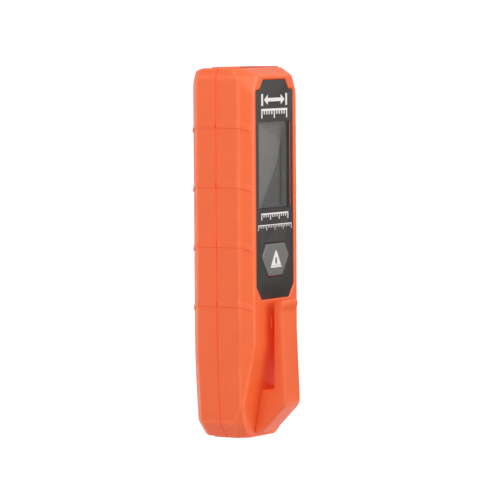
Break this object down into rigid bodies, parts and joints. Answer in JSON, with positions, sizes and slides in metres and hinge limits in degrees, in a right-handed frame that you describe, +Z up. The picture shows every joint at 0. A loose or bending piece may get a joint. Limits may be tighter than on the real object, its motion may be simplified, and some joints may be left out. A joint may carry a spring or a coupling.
{
  "type": "laser distance meter",
  "caption": "Slim pocket laser distance meter: orange ribbed shells, recessed display panel with a button, optics window on top, sprung belt clip.",
  "frame": {"origin": "centre of the whole object's footprint box, on the plane of its foot", "axes": "+Z up from the foot to the optics window; the display and button face -Y; +X is to the right when the display is read"},
  "size_m": [0.0356, 0.031, 0.1254],
  "materials": {
    "orange_plastic": "fine-textured moulded orange plastic",
    "panel_grey": "dark grey moulded plastic, slightly glossy",
    "button_grey": "mid grey moulded plastic",
    "legend_white": "white inlay",
    "display_clear": "clear acrylic with a grey tint",
    "smoked_window": "dark smoked acrylic",
    "lcd": "unlit grey liquid crystal panel",
    "diffuser": "white light guide",
    "flex_copper": "amber flexible circuit",
    "board_green": "green solder mask",
    "chip_black": "moulded black chip package",
    "black_plastic": "black moulded plastic",
    "foam": "closed-cell black foam",
    "lens_glass": "coated optical glass",
    "steel": "plated steel",
    "brass": "gold-plated can",
    "cell_wrap": "plain blue-grey printed cell sleeve"
  },
  "bodies": {
    "housing": {"front_shell": "orange_plastic", "rear_shell": "orange_plastic", "front_panel": "panel_grey", "display_window": "display_clear", "lcd_glass": "lcd", "lcd_backlight": "diffuser", "lcd_flex": "flex_copper", "switch_body": "black_plastic", "main_board": "board_green", "control_chip": "chip_black", "ranging_chip": "chip_black", "clock_crystal": "steel", "beeper": "black_plastic", "optics_chassis": "black_plastic", "receiver_lens": "lens_glass", "emitter_lens": "lens_glass", "laser_diode": "brass", "light_sensor": "chip_black", "receiver_board": "board_green", "window_gasket": "foam", "optics_window": "smoked_window", "optics_bezel": "orange_plastic", "cell_left": "cell_wrap", "cell_right": "cell_wrap", "contact_bridge": "steel", "contact_positive": "steel", "contact_negative": "steel", "spring_left": "steel", "spring_right": "steel", "belt_clip_root": "orange_plastic", "clip_screw_1": "steel", "clip_screw_2": "steel", "housing_screw_1": "steel", "housing_screw_2": "steel", "housing_screw_3": "steel", "housing_screw_4": "steel", "board_screw_1": "steel", "board_screw_2": "steel", "board_screw_3": "steel", "board_screw_4": "steel"},
    "battery_door": {"battery_door": "orange_plastic", "door_foam_pad": "foam"},
    "measure_button": {"button_cap": "button_grey", "button_legend": "legend_white"},
    "switch_plunger": {"switch_plunger": "button_grey"},
    "belt_clip_arm": {"belt_clip_arm": "orange_plastic"}
  },
  "joints": [
    {"name": "button_press", "type": "slide", "parent": "housing", "child": "measure_button", "axis": [0, 1, 0], "range_m": [0, 0.0004], "stiffness_N_per_m": 3000},
    {"name": "switch_travel", "type": "slide", "parent": "housing", "child": "switch_plunger", "axis": [0, 1, 0], "range_m": [0, 0.0004]},
    {"name": "clip_flex", "type": "hinge", "parent": "housing", "child": "belt_clip_arm", "pos_m": [0, -0.0128, 0.018], "axis": [1, 0, 0], "range_deg": [0, 4], "stiffness_Nm_per_rad": 4},
    {"name": "door_hinge", "type": "hinge", "parent": "housing", "child": "battery_door", "pos_m": [0, 0.0144, 0.0283], "axis": [-1, 0, 0], "range_deg": [0, 85]}
  ],
  "couplings": [
    {"joint": "switch_travel", "follows": "button_press", "ratio": 0.75}
  ]
}
